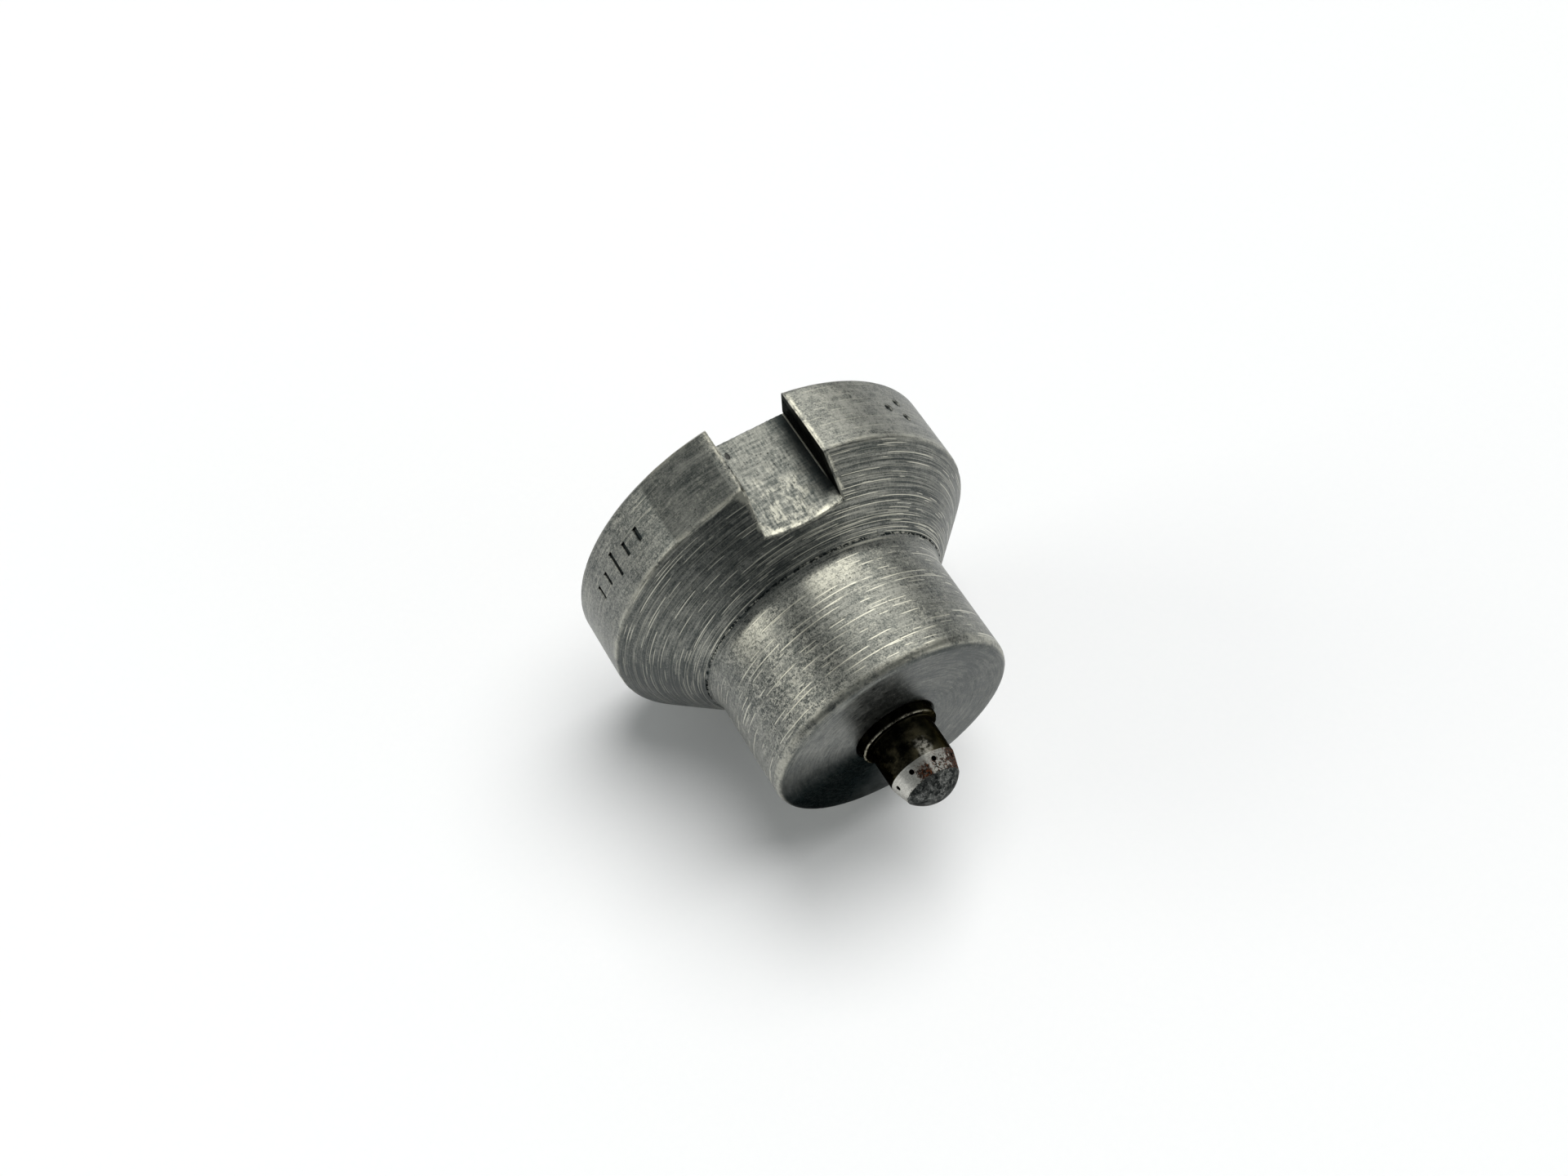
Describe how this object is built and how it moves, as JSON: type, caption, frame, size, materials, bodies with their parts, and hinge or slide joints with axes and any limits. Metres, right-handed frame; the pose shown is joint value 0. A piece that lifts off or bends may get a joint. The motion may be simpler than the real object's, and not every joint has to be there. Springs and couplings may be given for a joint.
{
  "type": "multi-hole fuel oil nozzle",
  "caption": "Fuel oil nozzle: steel body with keyed collar, cone seat and shank, and a domed spray tip with a sprung needle valve and inlet check valve.",
  "frame": {"origin": "centre of the rear seal face, on the nozzle's axis", "axes": "+Y along the axis out of the rear face, the spray leaves towards -Y, +Z through the middle of the key slot"},
  "size_m": [0.028, 0.0253, 0.0277],
  "materials": {
    "body_steel": "turned, dulled by heat and handling",
    "tip_steel": "hardened, oil-blackened, with a bright ground band",
    "hardened_steel": "ground",
    "pin_steel": "ground dowel pin",
    "spring_steel": "cold-drawn wire",
    "plug_steel": "turned",
    "copper": "annealed",
    "bronze": "perforated disc",
    "seal_rubber": "satin"
  },
  "bodies": {
    "housing": {"nozzle_body": "body_steel", "spray_tip": "tip_steel", "tip_gasket": "copper", "orientation_pin": "pin_steel", "needle_guide": "hardened_steel", "guide_pins": "pin_steel", "lift_stop_plate": "hardened_steel", "stack_pins": "pin_steel", "needle_spring": "spring_steel", "opening_shim": "hardened_steel", "spring_cage": "hardened_steel", "cage_seal": "copper", "check_seat": "hardened_steel", "check_spring": "spring_steel", "retaining_plug": "plug_steel", "inlet_strainer": "bronze", "strainer_clip": "spring_steel", "face_seal": "seal_rubber"},
    "needle_valve": {"needle": "hardened_steel", "spring_seat": "hardened_steel"},
    "check_valve": {"check_disc": "hardened_steel"}
  },
  "joints": [
    {"name": "needle_lift", "type": "slide", "parent": "housing", "child": "needle_valve", "axis": [0, 1, 0], "range_m": [0, 0.00035], "stiffness_N_per_m": 6200, "springref_m": -0.001, "deforming": ["needle_spring"]},
    {"name": "check_lift", "type": "slide", "parent": "housing", "child": "check_valve", "axis": [0, -1, 0], "range_m": [0, 0.0002], "stiffness_N_per_m": 300, "springref_m": -0.0005, "deforming": ["check_spring"]}
  ]
}
